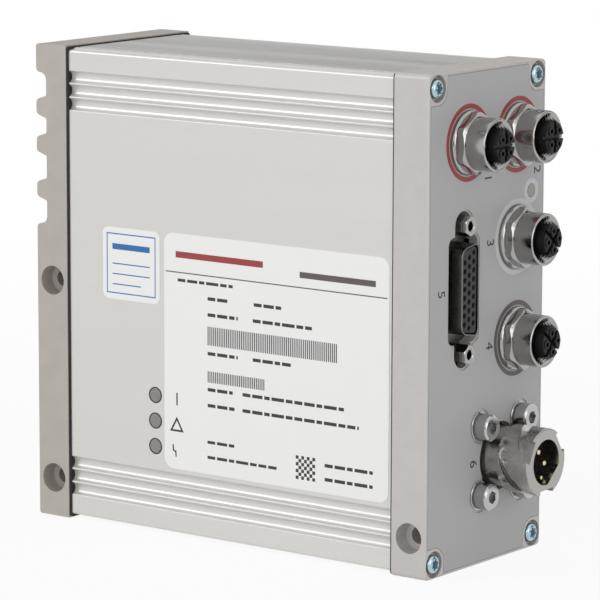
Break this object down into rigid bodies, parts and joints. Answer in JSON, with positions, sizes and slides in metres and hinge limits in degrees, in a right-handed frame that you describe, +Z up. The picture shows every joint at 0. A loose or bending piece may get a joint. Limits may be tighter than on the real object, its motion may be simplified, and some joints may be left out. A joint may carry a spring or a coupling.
{
  "type": "turbomolecular pump drive unit",
  "caption": "Sealed electronic drive unit of a turbomolecular vacuum pump: extruded aluminium housing, finned end plate, connector cap with round sockets, remote connector and DC inlet.",
  "frame": {"origin": "centre of the overall footprint, at the level that the unit stands on", "axes": "+X towards the connectors, -Y is the label side, +Y is the side that meets the pump, +Z up"},
  "size_m": [0.1446, 0.053, 0.13],
  "materials": {
    "blasted_aluminium": "blasted, fine matt grain",
    "anodised_aluminium": "satin silver anodised extrusion",
    "cast_aluminium": "fine matt machined casting",
    "printed_film": "silver grey printed film",
    "black_gasket": "matt black sheet rubber",
    "nickel_plating": "bright nickel plating",
    "inlet_metal": "nickel plated zinc casting",
    "stainless_steel": "bright stainless steel",
    "zinc_steel": "blue zinc plating",
    "black_insulator": "fine matt moulding",
    "gold_contact": "gold plated brass",
    "grey_lens": "smoked lens",
    "white_lens": "frosted lens",
    "circuit_board": "green solder mask",
    "chip_plastic": "black epoxy",
    "capacitor_sleeve": "dark blue sleeve",
    "ferrite": "coated ferrite",
    "copper_wire": "enamelled copper wire",
    "thermal_rubber": "grey thermal pad"
  },
  "bodies": {
    "root": {"board_headers": "black_insulator", "board_link": "black_insulator", "board_spacers": "nickel_plating", "bus_capacitors": "capacitor_sleeve", "cap_gasket": "black_gasket", "cap_screws": "zinc_steel", "choke_core": "ferrite", "choke_winding": "copper_wire", "clamp_bar": "stainless_steel", "clamp_screws": "zinc_steel", "connector_board": "circuit_board", "connector_cap": "cast_aluminium", "control_board": "circuit_board", "control_chips": "chip_plastic", "heat_sink_plate": "blasted_aluminium", "housing_tube": "anodised_aluminium", "inlet_block": "black_insulator", "inlet_pins": "gold_contact", "inlet_screws": "stainless_steel", "inlet_seal": "black_gasket", "inlet_shell": "inlet_metal", "inlet_washers": "stainless_steel", "light_pipes": "grey_lens", "m12_contacts_1": "gold_contact", "m12_contacts_2": "gold_contact", "m12_contacts_3": "gold_contact", "m12_contacts_4": "gold_contact", "m12_insert_1": "black_insulator", "m12_insert_2": "black_insulator", "m12_insert_3": "black_insulator", "m12_insert_4": "black_insulator", "m12_nut_1": "nickel_plating", "m12_nut_2": "nickel_plating", "m12_nut_3": "nickel_plating", "m12_nut_4": "nickel_plating", "m12_seal_1": "black_gasket", "m12_seal_2": "black_gasket", "m12_seal_3": "black_gasket", "m12_seal_4": "black_gasket", "m12_shell_1": "nickel_plating", "m12_shell_2": "nickel_plating", "m12_shell_3": "nickel_plating", "m12_shell_4": "nickel_plating", "motor_block": "black_insulator", "motor_contacts": "gold_contact", "motor_screws": "zinc_steel", "motor_seal": "black_gasket", "motor_shell": "nickel_plating", "panel_light": "white_lens", "panel_overlay": "printed_film", "plate_gasket": "black_gasket", "plate_screws": "zinc_steel", "power_board": "circuit_board", "power_transistors": "chip_plastic", "remote_block": "black_insulator", "remote_jackscrews": "nickel_plating", "remote_shell": "nickel_plating", "remote_tails": "gold_contact", "status_leds": "white_lens", "thermal_pad": "thermal_rubber"}
  },
  "joints": []
}
